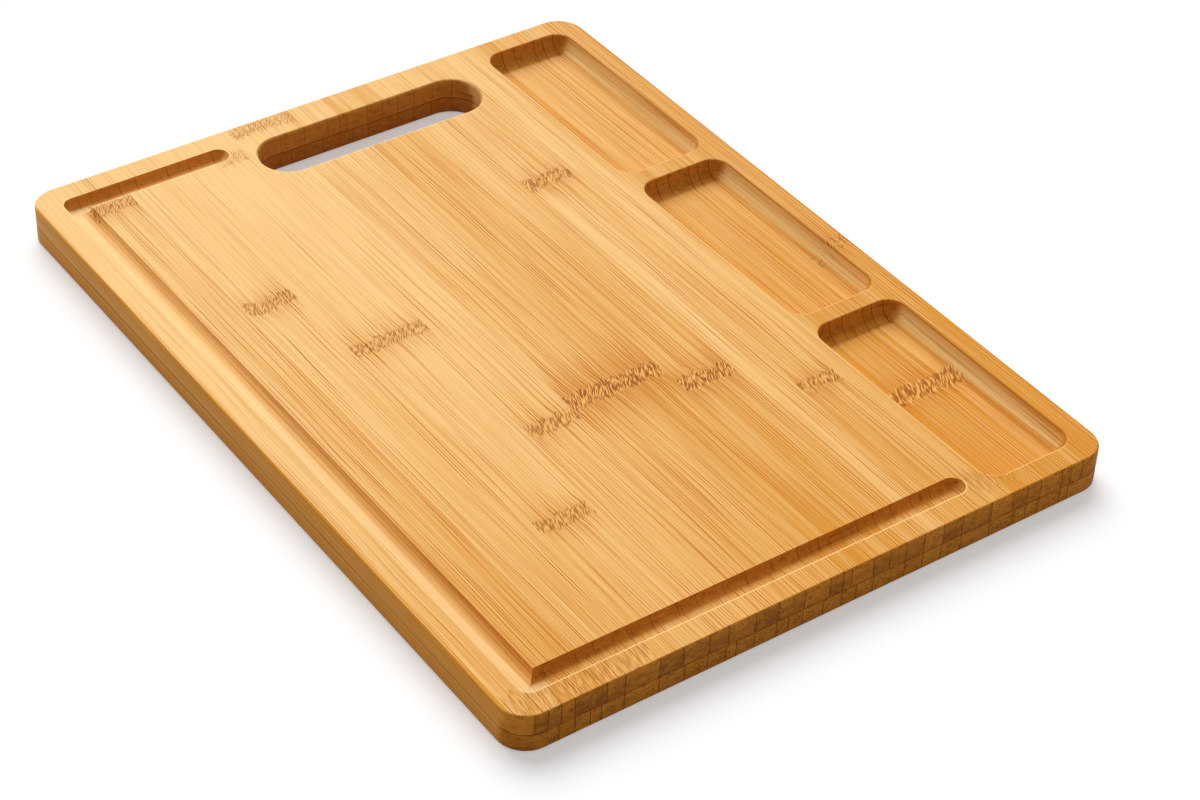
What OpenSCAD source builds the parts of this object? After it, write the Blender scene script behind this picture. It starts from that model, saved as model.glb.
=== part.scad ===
// Bamboo cutting board with a juice groove, a handle slot and three routed trays.
// It is glued up from two plies of bamboo strips. The strips run along the board's length and are
// glued edge to edge, and the panel is then cut to its outline, rounded over and routed.
// The origin is on the surface that the board lies on, under its middle. +X runs across the
// strips to the side with the trays, and +Y runs along them to the end with the handle slot.

/* [Board] */
// Width of the board, across the strips
board_w = 320; // [280:1:360]
// Length of the board, along the strips
board_l = 430; // [424:1:500]
// Thickness of the upper ply, which holds the groove and the trays
top_ply_t = 10.5; // [10:0.25:16]
// Thickness of the lower ply
base_ply_t = 9.5; // [6:0.25:16]
// Radius of the board's four corners, seen from above
corner_r = 14; // [5:0.5:22]
// Radius of the rounded-over edges, above and below
edge_r = 1.25; // [0.5:0.25:4.5]

/* [Handle slot] */
// Length of the slot, along the back edge
slot_l = 127; // [90:1:140]
// Width of the slot, which its round ends follow
slot_w = 30.5; // [22:0.5:36]
// Border between the slot and the board's back edge
slot_border = 19.5; // [14:0.5:26]
// Gap between the slot's right end and the column of trays
slot_tray_gap = 19; // [8:1:26]
// Radius of the slot's rounded rims, above and below
slot_rim_r = 2; // [0.5:0.25:4]

/* [Trays] */
// Number of trays in the column
tray_count = 3; // [1:1:3]
// Length of one tray, along the board
tray_l = 128; // [90:1:130]
// Width of one tray, across the board
tray_w = 50; // [36:1:54]
// Depth of a tray's flat floor below the top face
tray_depth = 9.5; // [5:0.25:13]
// Bridge between two trays
tray_gap = 10.5; // [6:0.5:12]
// Border between the trays and the board's right edge
tray_border = 11; // [8:0.5:18]
// Radius of a tray's corners, seen from above
tray_corner_r = 9.5; // [8:0.5:14]
// Radius of the cove between a tray's walls and its floor
tray_cove_r = 8; // [3:0.25:8]
// Radius of a tray's rounded rim
tray_rim_r = 1; // [0.25:0.25:1.25]

/* [Juice groove] */
// Width of the groove, the diameter of its round-nosed cutter
groove_w = 11.5; // [8:0.5:13]
// Depth of the groove below the top face
groove_depth = 5.5; // [4:0.25:7]
// Border between the groove and the board's edges
groove_border = 12.5; // [8:0.5:20]
// Gap between the tip of the groove's back arm and the handle slot
back_arm_gap = 10.5; // [6:0.5:40]
// Gap between the tip of the groove's front arm and the trays
front_arm_gap = 11; // [6:0.5:40]

/* [Glue joints] */
// Distance from the groove's inner wall to the next joint inside it
groove_joint = 4.5; // [2:0.5:8]
// Distance from each end of the slot to the joints that the slot cuts across
slot_joint = 7; // [4:0.5:12]
// Distance from the slot's left end to the joint beyond it in the lower ply
slot_outer_joint = 2.5; // [2.5:0.5:8]
// Distance from the trays' left walls to the first joint under them
tray_left_joint = 3; // [2:0.5:6]
// Distance from the trays' right walls to the last joint under them
tray_right_joint = 6.5; // [2:0.5:10]

/* [Hidden] */
TONES = ["#f0c27c", "#e8b56c", "#f4cb8a", "#e2aa60", "#edbd76"];

$fn = 64;
past = 1;
board_t = base_ply_t + top_ply_t;
groove_r = groove_w / 2;
groove_z = board_t - groove_depth + groove_r;
tray_left = board_w / 2 - tray_border - tray_w;
tray_right = board_w / 2 - tray_border;
tray_pitch = tray_l + tray_gap;
tray_floor_z = board_t - tray_depth;
tray_cove = min(tray_cove_r, tray_depth - tray_rim_r, tray_corner_r);
slot_right = tray_left - slot_tray_gap;
slot_left = slot_right - slot_l;
slot_y = board_l / 2 - slot_border - slot_w / 2;
groove_left = -board_w / 2 + groove_border;
groove_x = groove_left + groove_r;
groove_y = board_l / 2 - groove_border - groove_r;
back_tip = slot_left - back_arm_gap;
front_tip = tray_left - front_arm_gap;

// Each ply from its left edge, in zones that keep their joints clear of the routed walls: where the
// zone ends, and the widths that its strips are ripped to, which are scaled together to fill it
TOP_ZONES = [
    [groove_left + groove_w + groove_joint, [9.5, 6, 6.5, 6.5]],
    [slot_left - slot_joint, [16, 9, 17.5, 12, 13.5, 10]],
    [slot_left + slot_joint, [14]],
    [slot_right - slot_joint, [12, 14, 13.5, 7, 4.5, 12, 9, 9, 10, 11, 10.5]],
    [(slot_right + tray_left) / 2, [16.5]],
    [tray_left + tray_left_joint, [12.5]],
    [tray_right - tray_right_joint, [8.5, 7.5, 12.5, 5.5, 6.5]],
    [board_w / 2, [17.5]]
];
BASE_ZONES = [
    [slot_left - slot_outer_joint, [21, 8, 7.5, 5.5, 11.5, 17.5, 13, 12, 9.5, 5.5]],
    [slot_left + slot_joint, [9.5]],
    [slot_right - slot_joint, [11.5, 6.5, 7.5, 11, 10, 8, 9, 17.5, 10, 10.5, 11]],
    [(slot_right + tray_left) / 2, [16.5]],
    [board_w / 2, [14, 7, 7, 13, 5, 24.5]]
];
TOP_JOINTS = joints(TOP_ZONES);
BASE_JOINTS = joints(BASE_ZONES);

function strip_name(ply, i) = str(ply, "_strip_", i < 10 ? "0" : "", i);
function sum_first(v, n) = n == 0 ? 0 : v[n - 1] + sum_first(v, n - 1);
function zone_start(zones, k) = k == 0 ? -board_w / 2 : zones[k - 1][0];

// How much of zone k its first n strips take up
function zone_share(zones, k, n) = sum_first(zones[k][1], n) / sum_first(zones[k][1], len(zones[k][1]));

// Where the strips of a ply begin and end, from its left edge to its right edge
function joints(zones) = concat(
    [-board_w / 2],
    [
        for (k = [0 : len(zones) - 1], n = [1 : len(zones[k][1])])
            zone_start(zones, k) + (zones[k][0] - zone_start(zones, k)) * zone_share(zones, k, n)
    ]
);

// Does the stretch from a to b reach into the one from c to d?
function meets(a, b, c, d) = a < d && c < b;

// What is left of a square corner outside a quarter circle that is centred on the origin
module corner_waste(r) {
    difference() {
        square(r);
        circle(r);
    }
}

// A form with round corners in plan, from z0 to z1 at its middle. The child is half its section,
// drawn outwards from the corners' centre line, and runs right round it. Only the columns that
// lie between the planes x = from and x = to are drawn.
module routed_form(w, l, corner, z0, z1, from, to) {
    mid_w = w - 2 * corner;
    mid_l = l - 2 * corner;
    for (hand = [0, 1])
        if (hand == 0 ? to > mid_w / 2 : from < -mid_w / 2)
            mirror([hand, 0, 0]) translate([mid_w / 2, 0, 0]) {
                for (end = [0, 1])
                    mirror([0, end, 0]) translate([0, mid_l / 2, 0]) rotate_extrude(angle = 90) children();
                if (mid_l > 0)
                    translate([0, mid_l / 2, 0]) rotate([90, 0, 0]) linear_extrude(mid_l) children();
            }
    if (mid_w > 0 && meets(from, to, -mid_w / 2, mid_w / 2))
        translate([-mid_w / 2, 0, 0]) {
            for (end = [0, 1])
                mirror([0, end, 0]) translate([0, mid_l / 2, 0]) rotate([90, 0, 90])
                    linear_extrude(mid_w) children();
            if (mid_l > 0) translate([0, -mid_l / 2, z0]) cube([mid_w, mid_l, z1 - z0]);
        }
}

// One ply before it is routed: the board's outline, with its outer face's edge rounded over
module ply_form(thickness, from, to) {
    routed_form(board_w, board_l, corner_r, 0, thickness, from, to)
        difference() {
            square([corner_r, thickness]);
            translate([corner_r - edge_r, thickness - edge_r]) corner_waste(edge_r);
        }
}

// The flare that rounds over a rim at height z, along a wall at distance x
module rim_flare(x, z, r) {
    translate([x, z - r]) difference() {
        square([r, r + past]);
        translate([r, 0]) circle(r);
    }
}

// The handle slot, which goes right through both plies
module slot_cut(from, to) {
    mid = (slot_left + slot_right) / 2;
    translate([mid, slot_y, 0])
        routed_form(slot_l, slot_w, slot_w / 2, -past, board_t + past, from - mid, to - mid)
            union() {
                translate([0, -past]) square([slot_w / 2, board_t + 2 * past]);
                rim_flare(slot_w / 2, board_t, slot_rim_r);
                mirror([0, 1]) rim_flare(slot_w / 2, 0, slot_rim_r);
            }
}

// One tray: upright walls that run down into a cove and a flat floor
module tray_cut(from, to) {
    routed_form(tray_w, tray_l, tray_corner_r, tray_floor_z, board_t + past, from, to)
        union() {
            difference() {
                translate([0, tray_floor_z]) square([tray_corner_r, tray_depth + past]);
                translate([tray_corner_r - tray_cove, tray_floor_z + tray_cove])
                    mirror([0, 1]) corner_waste(tray_cove);
            }
            rim_flare(tray_corner_r, board_t, tray_rim_r);
        }
}

// The column of trays along the right edge
module trays_cut(from, to) {
    mid = (tray_left + tray_right) / 2;
    for (i = [0 : tray_count - 1])
        translate([mid, (i - (tray_count - 1) / 2) * tray_pitch, 0]) tray_cut(from - mid, to - mid);
}

// One pass of the round-nosed cutter along +X. It lifts out at the far end, and with
// plunge it also goes in round at the near end.
module groove_pass(run, plunge = false) {
    rotate([0, 90, 0]) rotate_extrude() {
        square([groove_r, run]);
        translate([0, run]) intersection() {
            circle(groove_r);
            square(groove_r);
        }
        if (plunge) mirror([0, 1]) intersection() {
            circle(groove_r);
            square(groove_r);
        }
    }
    if (groove_z < board_t) {
        translate([0, -groove_r, 0]) cube([run, groove_w, board_t - groove_z + past]);
        for (x = plunge ? [0, run] : [run])
            translate([x, 0, 0]) cylinder(h = board_t - groove_z + past, r = groove_r);
    }
}

// The juice groove: one long pass down the left side, and an arm from each of its ends
module groove_cut() {
    translate([groove_x, -groove_y, groove_z]) {
        rotate([0, 0, 90]) groove_pass(2 * groove_y, plunge = true);
        groove_pass(front_tip - groove_r - groove_x);
    }
    translate([groove_x, groove_y, groove_z]) groove_pass(back_tip - groove_r - groove_x);
}

// One bamboo strip, from x0 to x1 and z0 to z1, with what the router takes out of it.
// Its ply's outer face is the upper one or the lower one.
module strip(x0, x1, z0, z1, upper) {
    difference() {
        intersection() {
            translate([x0, -board_l / 2, z0]) cube([x1 - x0, board_l, z1 - z0]);
            translate([0, 0, upper ? z0 : z1]) mirror([0, 0, upper ? 0 : 1]) ply_form(z1 - z0, x0, x1);
        }
        if (meets(x0, x1, slot_left - slot_rim_r, slot_right + slot_rim_r))
            slot_cut(x0, x1);
        if (meets(x0, x1, tray_left - tray_rim_r, tray_right + tray_rim_r) && z1 > tray_floor_z)
            trays_cut(x0, x1);
        if (meets(x0, x1, groove_left, front_tip) && z1 > board_t - groove_depth)
            groove_cut();
    }
}

// Strip i of the upper ply, which shows its face and carries the groove and the trays
module top_strip(i) {
    color(TONES[(i * 3) % len(TONES)])
        strip(TOP_JOINTS[i - 1], TOP_JOINTS[i], base_ply_t, board_t, true);
}

// Strip i of the lower ply, which the board lies on
module base_strip(i) {
    color(TONES[(i * 2 + 1) % len(TONES)])
        strip(BASE_JOINTS[i - 1], BASE_JOINTS[i], 0, base_ply_t, false);
}

for (i = [1 : len(TOP_JOINTS) - 1])
    top_strip(i);
for (i = [1 : len(BASE_JOINTS) - 1])
    base_strip(i);
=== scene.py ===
"""Bamboo cutting board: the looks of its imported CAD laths, which keep their places and shapes."""

import math

import bpy
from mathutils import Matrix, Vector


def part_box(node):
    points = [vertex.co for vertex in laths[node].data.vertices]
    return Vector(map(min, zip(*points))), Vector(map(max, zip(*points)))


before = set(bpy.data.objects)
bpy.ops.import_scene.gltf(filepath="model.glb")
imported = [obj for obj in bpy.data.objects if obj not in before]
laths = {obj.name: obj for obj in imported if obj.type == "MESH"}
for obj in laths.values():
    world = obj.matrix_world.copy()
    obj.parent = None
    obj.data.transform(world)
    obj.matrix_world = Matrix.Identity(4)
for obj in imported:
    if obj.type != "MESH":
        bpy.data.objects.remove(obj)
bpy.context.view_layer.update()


# ---- Lower ply -------------------------------------------------------------------------------
# Twenty-nine bamboo laths under the cutting face, split from the culm wall, planed square and
# glued edge to edge. Only their ends, the outer edges and the wall of the handle slot show.

class Wire:
    """A number, place or colour on its way through a material; sums with it add Math nodes."""

    def __init__(self, tree, socket):
        self.tree = tree
        self.socket = socket

    def math(self, operation, *values):
        node = self.tree.nodes.new("ShaderNodeMath")
        node.operation = operation
        for entry, value in zip(node.inputs, values):
            plug(entry, value)
        return Wire(self.tree, node.outputs[0])

    def __add__(self, other):
        return self.math("ADD", self, other)

    def __sub__(self, other):
        return self.math("SUBTRACT", self, other)

    def __mul__(self, other):
        return self.math("MULTIPLY", self, other)

    def __truediv__(self, other):
        return self.math("DIVIDE", self, other)

    def size(self):
        return self.math("ABSOLUTE", self)

    def least(self, other):
        return self.math("MINIMUM", self, other)

    def most(self, other):
        return self.math("MAXIMUM", self, other)

    def fade(self, start, end):
        """0 up to start, 1 from end on, smooth between; start may lie above end."""
        node = place(self.tree, "ShaderNodeMapRange", {"interpolation_type": "SMOOTHSTEP"},
                     Value=self, From_Min=start, From_Max=end)
        return Wire(self.tree, node.outputs[0])


def plug(entry, value):
    """Wires a value into a socket, or sets the socket to it."""
    if isinstance(value, Wire):
        value.tree.links.new(value.socket, entry)
    else:
        entry.default_value = value


def place(tree, kind, settings=None, **inputs):
    """Adds a node, sets its options and plugs in its inputs; _ in an input's name is a space."""
    node = tree.nodes.new(kind)
    for option, choice in (settings or {}).items():
        setattr(node, option, choice)
    for name, value in inputs.items():
        plug(node.inputs[name.replace("_", " ")], value)
    return node


def spot(x, y, z=0.0):
    """A place, put together from its three parts."""
    return Wire(x.tree, place(x.tree, "ShaderNodeCombineXYZ", X=x, Y=y, Z=z).outputs[0])


def split(wire):
    """The three parts of a place or a direction."""
    parts = place(wire.tree, "ShaderNodeSeparateXYZ", Vector=wire)
    return [Wire(wire.tree, part) for part in parts.outputs]


def noise(x, y, z=0.0, detail=0.0):
    """Smooth noise about 0, with one swell or so to each unit."""
    swell = place(x.tree, "ShaderNodeTexNoise", Vector=spot(x, y, z), Scale=1.0, Detail=detail)
    return Wire(x.tree, swell.outputs[0]) - 0.5


def chance(x, y):
    """A number from 0 to 1, drawn for each pair of whole numbers."""
    draw = place(x.tree, "ShaderNodeTexWhiteNoise", {"noise_dimensions": "2D"}, Vector=spot(x, y))
    return Wire(x.tree, draw.outputs["Value"])


def stain(ground, *coats):
    """Lays coats on a ground in turn: each is a share, held between 0 and 1, and its colour."""
    for share, colour in coats:
        mix = place(share.tree, "ShaderNodeMix", {"data_type": "RGBA"})
        share_entry, ground_entry, colour_entry = mix.inputs[0], mix.inputs[6], mix.inputs[7]
        plug(share_entry, share)
        plug(ground_entry, ground)
        plug(colour_entry, colour)
        ground = Wire(share.tree, mix.outputs[2])
    return ground


def shade(red, green, blue):
    """A colour as it looks on a screen, 0 to 255, as the numbers a shader takes."""
    return tuple((c / 255 / 12.92 if c <= 10 else ((c / 255 + 0.055) / 1.055) ** 2.4)
                 for c in (red, green, blue)) + (1.0,)


def start_group(name, entries, results):
    """A node group fed with a place, numbers and colours: its tree, input wires and end."""
    tree = bpy.data.node_groups.new(name, "ShaderNodeTree")
    tree.interface.new_socket("Place", in_out="INPUT", socket_type="NodeSocketVector")
    for label, value in entries.items():
        kind = "NodeSocketColor" if isinstance(value, tuple) else "NodeSocketFloat"
        tree.interface.new_socket(label, in_out="INPUT", socket_type=kind).default_value = value
    for label in results:
        kind = "NodeSocketColor" if label == "Colour" else "NodeSocketFloat"
        tree.interface.new_socket(label, in_out="OUTPUT", socket_type=kind)
    sockets = tree.nodes.new("NodeGroupInput").outputs
    wires = {socket.name: Wire(tree, socket) for socket in sockets if socket.name}
    return tree, wires, tree.nodes.new("NodeGroupOutput")


# A knuckle is the ridge across the culm, planed flat: strands swerve, break off and cross there.
# Its line wanders along the laths, and it ends at a joint with hardly any blur; in metres.
WANDER = 0.007
END_BLUR = 0.0003
knuckle, at, end = start_group(
    "bamboo_knuckle",
    {"Along": 0.0, "From": -1.0, "To": 1.0, "Strength": 1.0, "Reach": 0.02, "Half width": 0.004,
     "Lean": 0.45, "Seed": 0.0},
    ("Swerve", "Dark", "Light", "Halo"))
x, y, _ = split(at["Place"])
seed, half_width = at["Seed"], at["Half width"]
# How far along the lath from the knuckle's line; depth is 1 at the knuckle's ragged edge.
off = y - at["Along"] - noise(x * 95 + seed, seed, detail=2.0) * WANDER
ragged = noise(x * 500 + seed, seed + 5.0)
depth = off.size() / (half_width * (ragged * 1.1 + 1.0))
band = depth.fade(1.2, 0.85)
# How far the strands are pushed aside, and the short dark and light strokes that they break into.
lean = at["Lean"] + noise(x * 150, seed + 9.0) * 0.5
wiggle = noise(x * 300, off * 220, seed) * 0.0009
swerve = (wiggle - lean * off) * depth.fade(2.2, 0.7)
stroke = noise((x + swerve) * 1750, off * 1.3 / half_width, seed)
across = ((x - at["From"]).fade(-END_BLUR, END_BLUR) * (at["To"] - x).fade(-END_BLUR, END_BLUR)
          * at["Strength"])
plug(end.inputs["Swerve"], swerve * across)
plug(end.inputs["Dark"], (stroke.fade(-0.01, 0.08) * 0.85 + 0.15) * band * across)
plug(end.inputs["Light"], stroke.fade(-0.03, -0.11) * band * across)
plug(end.inputs["Halo"], (off.size() / at["Reach"]).fade(1.0, 0.0) * across)

# A lath is strands in a paler ground: streaks along its faces, dots at its ends. These are the
# places on the board that its colour needs, in metres from the middle of the underside: the
# board's side, end and face, the groove's centre line with the middles of its two ball ends, half
# the groove's width, and the trays' left walls.
SIDE, END, TOP = 0.160, 0.215, 0.020
GROOVE_X, GROOVE_Y = -0.14175, 0.19675
FRONT_BALL, BACK_BALL = 0.08225, -0.06325
GROOVE_R = 0.00575
TRAYS = 0.099
lath, at, end = start_group(
    "bamboo_lath",
    {"Pale": shade(252, 206, 135), "Deep": shade(220, 148, 40), "Strand": shade(202, 114, 0),
     "End": shade(196, 120, 32), "Glue": shade(84, 42, 4),
     "Tone": 0.4, "Front": 0.0, "Back": 0.0, "Skin": 0.3, "Seed": 0.0, "Low": -1.0, "High": 1.0,
     "Ply joint": 0.0095, "End shade": 0.5, "Tray wall": 0.0,
     "Swerve": 0.0, "Dark": 0.0, "Light": 0.0, "Halo": 0.0},
    ("Colour", "Roughness", "Height"))
x, y, z = split(at["Place"])
seed, halo, ply_joint_z = at["Seed"], at["Halo"], at["Ply joint"]
facing = place(lath, "ShaderNodeNewGeometry").outputs["Normal"]
facing_x, facing_y, facing_z = split(Wire(lath, facing))


def streaks(width, length, offset, detail=0.0):
    """Noise in streaks along the lath, this wide and this long, in metres."""
    return noise(x / width + seed + offset, y / length + seed * 3.7, z / width, detail)


# The strands wander a little from side to side, more so near a knuckle.
drift = (x + at["Swerve"] * 0.2
         + streaks(width=0.012, length=0.10, offset=71.0, detail=1.0) * 0.0026
         + streaks(width=0.006, length=0.03, offset=83.0) * (halo * 0.002 + 0.0006))


def strands(pitch, width, length, offset):
    """A dark strand in each pitch across the lath, fading in and out, and a pale line beside it."""
    across = (drift + z) / pitch + seed + offset
    number = across.math("FLOOR", across)
    aside = across - number - chance(number, offset) * 0.5 - 0.25
    strength = (noise(number * 7.3, y / length + seed).fade(-0.24, 0.20)
                * (chance(number, offset + 5.0) + 0.25))
    beside = aside - width * 1.4 / pitch
    return [line.size().fade(width / pitch, width * 0.3 / pitch) * strength
            for line in (aside, beside)]


bold, beside_bold = strands(pitch=0.0033, width=0.00042, length=0.09, offset=0.0)
thin, beside_thin = strands(pitch=0.00125, width=0.00040, length=0.05, offset=11.0)
hair = noise(drift / 0.0009 + seed, y / 0.07, z / 0.0009)

# The colour deepens towards the skin's side of the lath. It also deepens towards the front end
# and on the board's long sides and their rounded edges, which is painted shade.
inwards = (x - at["Low"]) / (at["High"] - at["Low"]) - 0.5
tone = (at["Tone"] + y * -1.5
        + y.fade(0.02, 0.14) * at["Back"] + y.fade(-0.03, -0.16) * at["Front"]
        + streaks(width=0.02, length=0.16, offset=5.0, detail=1.0) * 0.30
        + streaks(width=0.003, length=0.5, offset=61.0) * 0.20
        + inwards * at["Skin"] + hair * 0.6
        # painted shade on the board's long sides and their rounded edges
        + x.size().fade(SIDE - 0.0025, SIDE - 0.0003) * 0.9)
dark_strands = (bold * 0.42 + thin * 1.35) * (tone * 0.8 + halo * 0.7 + 0.38)
face = stain(
    at["Pale"],
    (tone, at["Deep"]),
    (dark_strands + halo * halo * 0.40, at["Strand"]),
    (beside_bold * 0.20 + beside_thin * 0.48, shade(253, 212, 142)),
    (at["Dark"] * 0.95, shade(158, 82, 0)),
    (at["Light"] * 0.70, shade(252, 194, 102)))

# The ends, and the walls that face along the laths, show the strands cut across, as dots. A wall
# that faces the front does so where it leans back too, in a tray's cove; deep down, on the cove's
# nearly flat foot, the dark end colour is painted shade.
end_grain_and_cove_shade = facing_y.size().fade(0.70, 0.95).most(facing_y.fade(-0.12, -0.55))
# painted shade: the dark end colour on the nearly flat foot of a tray's cove
end_grain_and_cove_shade = end_grain_and_cove_shade.most(facing_y.fade(-0.02, -0.30) * z.fade(TOP - 0.0050, TOP - 0.0070))
routed = y.size().fade(END - 0.0005, END - 0.0015)
lower_ply = (z - ply_joint_z).fade(0.0002, -0.0002)
near_top = z.fade(TOP - 0.0055, TOP - 0.0020)
back_arm = (x.fade(BACK_BALL + 0.01125, BACK_BALL + 0.00525)
            * y.fade(GROOVE_Y - 0.01175, GROOVE_Y - 0.00675) * routed)
cells = place(lath, "ShaderNodeTexVoronoi", {"voronoi_dimensions": "3D"},
              Vector=spot(x * 900, y * 40, z * 900), Scale=1.0)
dots = (Wire(lath, cells.outputs["Distance"]).fade(0.50, 0.20)
        * (noise(x * 400, y * 20, z * 400) * 1.6 + 0.7))
mottle = noise(x * 260, y * 20, z * 420, detail=2.0)
cutter_marks = noise(x * 18, y * 400, z * 1500, detail=1.0)
end_face = stain(
    at["End"],
    # each lath has its own shade, and painted shade darkens the ends on the board's left
    (at["End shade"], shade(144, 80, 16)),              # each lath has its own shade
    (lower_ply * 0.55, shade(222, 142, 46)),            # the lower ply's ends are paler
    (routed * 0.80, shade(206, 128, 38)),               # routed walls differ less from lath to lath
    (routed * lower_ply * 0.45, shade(140, 70, 0)),     # deep in the slot
    (near_top * (routed * -0.17 + 0.25), shade(240, 150, 44)),
    (mottle.fade(0.0, 0.25) * 0.5, shade(112, 62, 6)),
    (mottle.fade(0.0, -0.25) * 0.4, shade(214, 146, 52)),
    (dots * (routed * -0.45 + 0.75), shade(92, 46, 2)),
    (cutter_marks * routed * 1.6, shade(120, 62, 2)),
    (back_arm * 0.25, shade(236, 150, 50)))

# Painted highlights make three places paler: the rims of the groove, the trays and the slot, the
# wall that sweeps up from a tray's floor to the right border, and the bottom of the groove on the
# left.
inside = x.size().fade(SIDE - 0.0020, SIDE - 0.0035) * y.size().fade(END - 0.0020, END - 0.0035)
# Painted highlight on the rounded rims that face the back or the right.
painted_rim_highlight = (z.fade(TOP - 0.0014, TOP - 0.0006) * facing_z.fade(0.995, 0.93)
       * facing_y.fade(-0.30, -0.02) * inside * facing_x.fade(-0.30, -0.02))
# Painted highlight on the trays' right walls, which lie in shade.
painted_wall_highlight = (facing_x.fade(-0.34, -0.80) * z.fade(TOP - 0.0008, TOP - 0.0020)
         * facing_y.size().fade(0.6, 0.0) * at["Tray wall"])
groove_wall = GROOVE_X + GROOVE_R
# Painted highlight on the left groove's outer slope, near its bottom.
painted_groove_floor_highlight = (z.fade(TOP - 0.0010, TOP - 0.0028) * x.fade(groove_wall + 0.006, groove_wall + 0.001)
          * facing_y.size().fade(0.45, 0.15) * inside
          * facing_x.fade(-0.35, -0.10) * facing_x.fade(0.70, 0.30))


def groove_rim(x_from, x_to, y_from, y_to, side):
    """The thin line that catches the light on one run of the groove, where side is above 0."""
    off_x = x - x.most(x_from).least(x_to)
    off_y = y - y.most(y_from).least(y_to)
    away = off_x * off_x + off_y * off_y
    away = away.math("SQRT", away)
    from_rim = away - (GROOVE_R + 0.00025)
    return from_rim.size().fade(0.0005, 0.0001) * side.fade(-0.0010, 0.0010)


# Painted highlight along the groove's near rims.
painted_groove_rim_highlight = (
    groove_rim(GROOVE_X, FRONT_BALL, -GROOVE_Y, -GROOVE_Y, y * -1.0 - GROOVE_Y)
    .most(groove_rim(GROOVE_X, GROOVE_X, -GROOVE_Y, GROOVE_Y, x * -1.0 + GROOVE_X))
    .most(groove_rim(GROOVE_X, BACK_BALL, GROOVE_Y, GROOVE_Y, y * -1.0 + GROOVE_Y)))

# The glue shows as a dark line round the board between the plies, and faintly between the laths.
to_joint = (x - at["Low"]).size().least((x - at["High"]).size())
by_trays = x.fade(TRAYS - 0.005, TRAYS - 0.001)
side_joint = (to_joint.fade(0.00045, 0.00010) * x.size().fade(SIDE - 0.0008, SIDE - 0.0012)
              * (end_grain_and_cove_shade * (routed * (by_trays * 0.22 - 0.30) + 0.60) + 0.05))
ply_joint = (z - ply_joint_z).size().fade(0.00036, 0.00012) * 0.75
glue_line = side_joint.most(ply_joint)

plug(end.inputs["Colour"], stain(
    face,
    (end_grain_and_cove_shade * 0.92, end_face),
    (painted_rim_highlight * 0.6, shade(255, 226, 172)),
    (painted_wall_highlight * (hair * 2.5 + 0.85), shade(255, 212, 138)),
    (painted_groove_floor_highlight * 0.35, shade(255, 232, 184)),
    (painted_groove_rim_highlight * facing_z.fade(0.90, 0.98) * 0.7, shade(255, 226, 160)),
    (glue_line, at["Glue"])))
plug(end.inputs["Roughness"], bold * 0.08 + end_grain_and_cove_shade * 0.14 + 0.46)
plug(end.inputs["Height"], bold * -0.2 + thin * -0.1 + dots * end_grain_and_cove_shade * -0.5 + at["Dark"] * -0.4
     + glue_line * -1.2)


def bamboo_finish(name, tone, front=0.0, back=0.0, skin=0.1, knuckles=(), tray_wall=0.0):
    """Gives one lath its own oiled bamboo, cut to its joints, with the knuckles that cross it."""
    low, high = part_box(name)
    # Its own number places its grain and shades its end; ends on the board's left are
    # darker, which is painted shade.
    own_number = sum(ord(letter) * (i + 3) for i, letter in enumerate(name))
    grain_seed = own_number * 0.37 % 90
    end_shade = own_number * 0.618 % 1 * 0.8 - low.x * 2.2
    finish = bpy.data.materials.new(f"{name}_oiled")
    finish.use_nodes = True
    tree = finish.node_tree
    here = Wire(tree, place(tree, "ShaderNodeTexCoord").outputs["Object"])
    ridges = {"Swerve": 0.0, "Dark": 0.0, "Light": 0.0, "Halo": 0.0}
    for along, start, stop, strength, reach, half_width, lean in knuckles:
        ridge = place(tree, "ShaderNodeGroup", {"node_tree": knuckle}, Place=here, Along=along,
                      From=start, To=stop, Strength=strength, Reach=reach,
                      Half_width=half_width, Lean=lean, Seed=along * 7919 % 97)
        for part, so_far in ridges.items():
            ridges[part] = Wire(tree, ridge.outputs[part]) + so_far
    look = place(tree, "ShaderNodeGroup", {"node_tree": lath}, Place=here, Tone=tone, Front=front,
                 Back=back, Skin=skin, Seed=grain_seed, Low=low.x, High=high.x,
                 End_shade=end_shade, Tray_wall=tray_wall, **ridges)
    height = Wire(tree, look.outputs["Height"])
    bump = place(tree, "ShaderNodeBump", Strength=0.3, Distance=0.00012, Height=height)
    shader = tree.nodes["Principled BSDF"]
    tree.links.new(look.outputs["Colour"], shader.inputs["Base Color"])
    tree.links.new(look.outputs["Roughness"], shader.inputs["Roughness"])
    tree.links.new(bump.outputs[0], shader.inputs["Normal"])
    shader.inputs["Specular IOR Level"].default_value = 0.06
    laths[name].data.materials.clear()
    laths[name].data.materials.append(finish)


# Tone of each lath, from pale at 0 to deep at 1.
BASE_TONES = (0.45, 0.6, 0.35, 0.7, 0.45, 0.55, 0.4, 0.75, 0.5, 0.9, 0.45, 0.6, 0.5, 0.8, 0.4,
              0.55, 0.65, 0.45, 0.7, 0.5, 0.4, 0.6, 0.35, 0.55, 0.75, 0.5, 0.65, 0.45, 0.5)
for number, tone in enumerate(BASE_TONES, start=1):
    bamboo_finish(f"base_strip_{number:02d}", tone)


# ---- Upper ply -------------------------------------------------------------------------------
# Thirty laths glued edge to edge on the lower ply, their culm knuckles left in. Their upper face
# is planed and sanded as one, then the groove, the trays and the handle slot are routed through.

# Laths from one culm lie side by side, and match in tone.
TOP_TONES = (0.12, 0.24, 0.18, 0.27, 0.41, 0.18, 0.27, 0.25, 0.16, 0.15, 0.24, 0.22, 0.39, 0.33,
             0.50, 0.60, 0.60, 0.42, 0.50, 0.45, 0.15, 0.31, 0.38, 0.32, 0.72, 0.70, 0.76, 0.78,
             0.60, 0.76)
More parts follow.
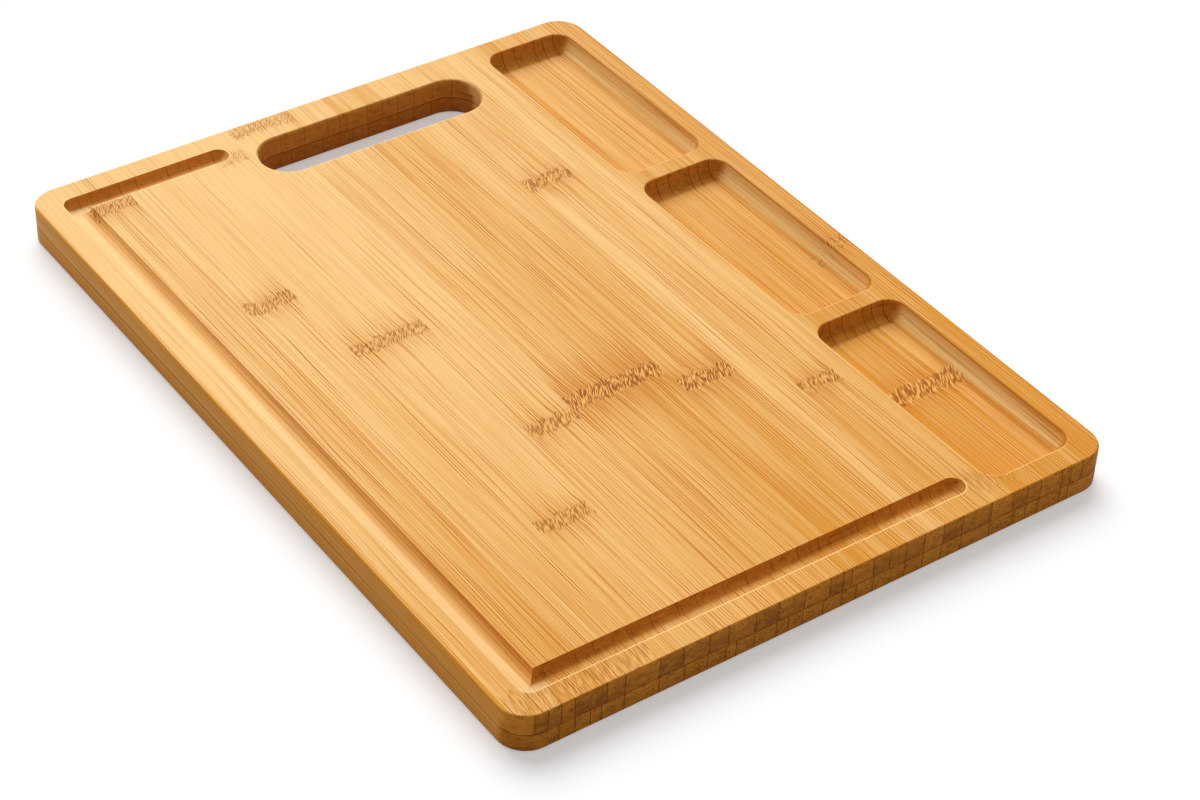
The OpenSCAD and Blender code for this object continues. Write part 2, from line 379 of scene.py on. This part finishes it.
# Laths that turn deeper, or paler below 0, in the front third and in the back third.
TOP_FRONTS = {1: 0.13, 2: 0.15, 4: 0.16, 5: 0.06, 6: 0.12, 12: 0.06, 15: -0.06, 19: 0.14,
              22: 0.10, 25: 0.22, 26: -0.05, 27: -0.16, 28: -0.16, 29: -0.18}
TOP_BACKS = {16: 0.22, 18: 0.30, 21: 0.32, 22: 0.22, 24: 0.25, 25: 0.25, 30: 0.15}
# Laths that deepen towards one edge, the side of the culm's skin: above 0 for the right edge.
TOP_SKINS = {2: -0.2, 17: 0.1, 18: -0.15, 20: 0.15, 21: -0.1, 23: -0.15, 24: 0.2, 25: 0.2,
             27: 0.15}
# Each knuckle: where it lies along the laths, from where to where it crosses them, its strength,
# how far the strands darken round it, half its width, and how far its strokes lean; in metres.
KNUCKLES = (
    (0.185, -0.1380, -0.1156, 0.70, 0.022, 0.0045, 0.45),
    (0.078, -0.1156, -0.0893, 0.70, 0.022, 0.0045, 0.40),
    (0.025, -0.0893, -0.0500, 0.70, 0.026, 0.0045, 0.45),
    (0.093, 0.0514, 0.0780, 0.70, 0.024, 0.0045, 0.45),
    (-0.066, -0.0535, -0.0279, 0.70, 0.022, 0.0045, 0.40),
    (-0.059, -0.0279, 0.0233, 1.00, 0.045, 0.0050, 0.45),
    (-0.076, 0.0233, 0.0514, 1.00, 0.030, 0.0050, 0.45),
    (-0.107, 0.0680, 0.0895, 0.80, 0.022, 0.0045, 0.45),
    (-0.128, 0.1020, 0.1460, 0.90, 0.028, 0.0050, 0.45),
    (-0.122, -0.0870, -0.0590, 0.70, 0.024, 0.0045, 0.40),
    (-0.026, 0.1425, 0.1600, 0.60, 0.020, 0.0040, 0.30),
    (0.209, -0.0490, -0.0139, 0.50, 0.012, 0.0045, 0.45),
    (0.190, -0.0670, -0.0500, 0.40, 0.012, 0.0045, 0.45),
    (-0.206, -0.1570, -0.0893, 0.38, 0.010, 0.0085, 0.20),
    (-0.200, 0.0895, 0.1110, 0.30, 0.010, 0.0080, 0.20),
)
# A knuckle that only touches a lath's joint doesn't cross the lath, and the trays' right walls
# are cut in the last lath, which gets their painted highlight.
JOINT_SLACK = 0.0002
for number, tone in enumerate(TOP_TONES, start=1):
    name = f"top_strip_{number:02d}"
    low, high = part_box(name)
    crossing = [ridge for ridge in KNUCKLES
                if ridge[1] < high.x - JOINT_SLACK and ridge[2] > low.x + JOINT_SLACK]
    bamboo_finish(name, tone, TOP_FRONTS.get(number, 0.0), TOP_BACKS.get(number, 0.0),
                  TOP_SKINS.get(number, 0.0), crossing,
                  tray_wall=1.0 if number == len(TOP_TONES) else 0.0)


# ---- Table top, light and camera -------------------------------------------------------------
# A plain white table under one wide soft light above and behind the board, with the room's light
# all round. The camera looks down over the corner between the groove's side and the front end.

def seen_rays(tree):
    """1 for rays from the camera and for reflections and clear views, 0 for the light on things."""
    rays = place(tree, "ShaderNodeLightPath").outputs
    return Wire(tree, rays["Is Camera Ray"]).most(
        Wire(tree, rays["Is Glossy Ray"]).most(Wire(tree, rays["Is Transmission Ray"])))


REACH = 6.0
corners = [(-REACH, -REACH, 0.0), (REACH, -REACH, 0.0), (REACH, REACH, 0.0), (-REACH, REACH, 0.0)]
table_mesh = bpy.data.meshes.new("table_top")
table_mesh.from_pydata(corners, [], [(0, 1, 2, 3)])
table_top = bpy.data.objects.new("table_top", table_mesh)
bpy.context.scene.collection.objects.link(table_top)
white = bpy.data.materials.new("table_white")
white.use_nodes = True
tree = white.node_tree
tree.nodes.remove(tree.nodes["Principled BSDF"])
paint = place(tree, "ShaderNodeBsdfDiffuse", Color=(0.70, 0.70, 0.70, 1.0)).outputs[0]
glow = place(tree, "ShaderNodeEmission", Strength=seen_rays(tree) * 0.34).outputs[0]
both = tree.nodes.new("ShaderNodeAddShader")
tree.links.new(paint, both.inputs[0])
tree.links.new(glow, both.inputs[1])
tree.links.new(both.outputs[0], tree.nodes["Material Output"].inputs["Surface"])
table_mesh.materials.append(white)

ROOM_LIGHT = 0.36
room = bpy.data.worlds.new("room")
room.use_nodes = True
tree = room.node_tree
background = tree.nodes["Background"]
background.inputs["Color"].default_value = (1.0, 1.0, 1.0, 1.0)
plug(background.inputs["Strength"], seen_rays(tree) * (1.0 - ROOM_LIGHT) + ROOM_LIGHT)
bpy.context.scene.world = room

window = bpy.data.lights.new("window", "SUN")
window.energy = 2.7
window.angle = math.radians(50)
window_light = bpy.data.objects.new("window", window)
towards_window = Vector((0.22, 0.62, 0.75))
window_light.rotation_euler = towards_window.to_track_quat("Z", "Y").to_euler()
bpy.context.scene.collection.objects.link(window_light)

lens = bpy.data.cameras.new("camera")
lens.sensor_width = 36.0
lens.lens = 89.0
lens.clip_start = 0.05
lens.clip_end = 30.0
camera = bpy.data.objects.new("camera", lens)
bpy.context.scene.collection.objects.link(camera)
turn, dip, roll = math.radians(36.69), math.radians(38.88), math.radians(2.59)
ahead = Vector((math.sin(turn) * math.cos(dip), math.cos(turn) * math.cos(dip), -math.sin(dip)))
level = ahead.cross(Vector((0, 0, 1))).normalized()
upright = level.cross(ahead)
right = math.cos(roll) * level + math.sin(roll) * upright
up = math.cos(roll) * upright - math.sin(roll) * level
camera.matrix_world = Matrix((right, up, -ahead)).transposed().to_4x4()
camera.location = (-0.6356, -0.8989, 0.8593)
bpy.context.scene.camera = camera
bpy.context.scene.view_settings.view_transform = "Standard"
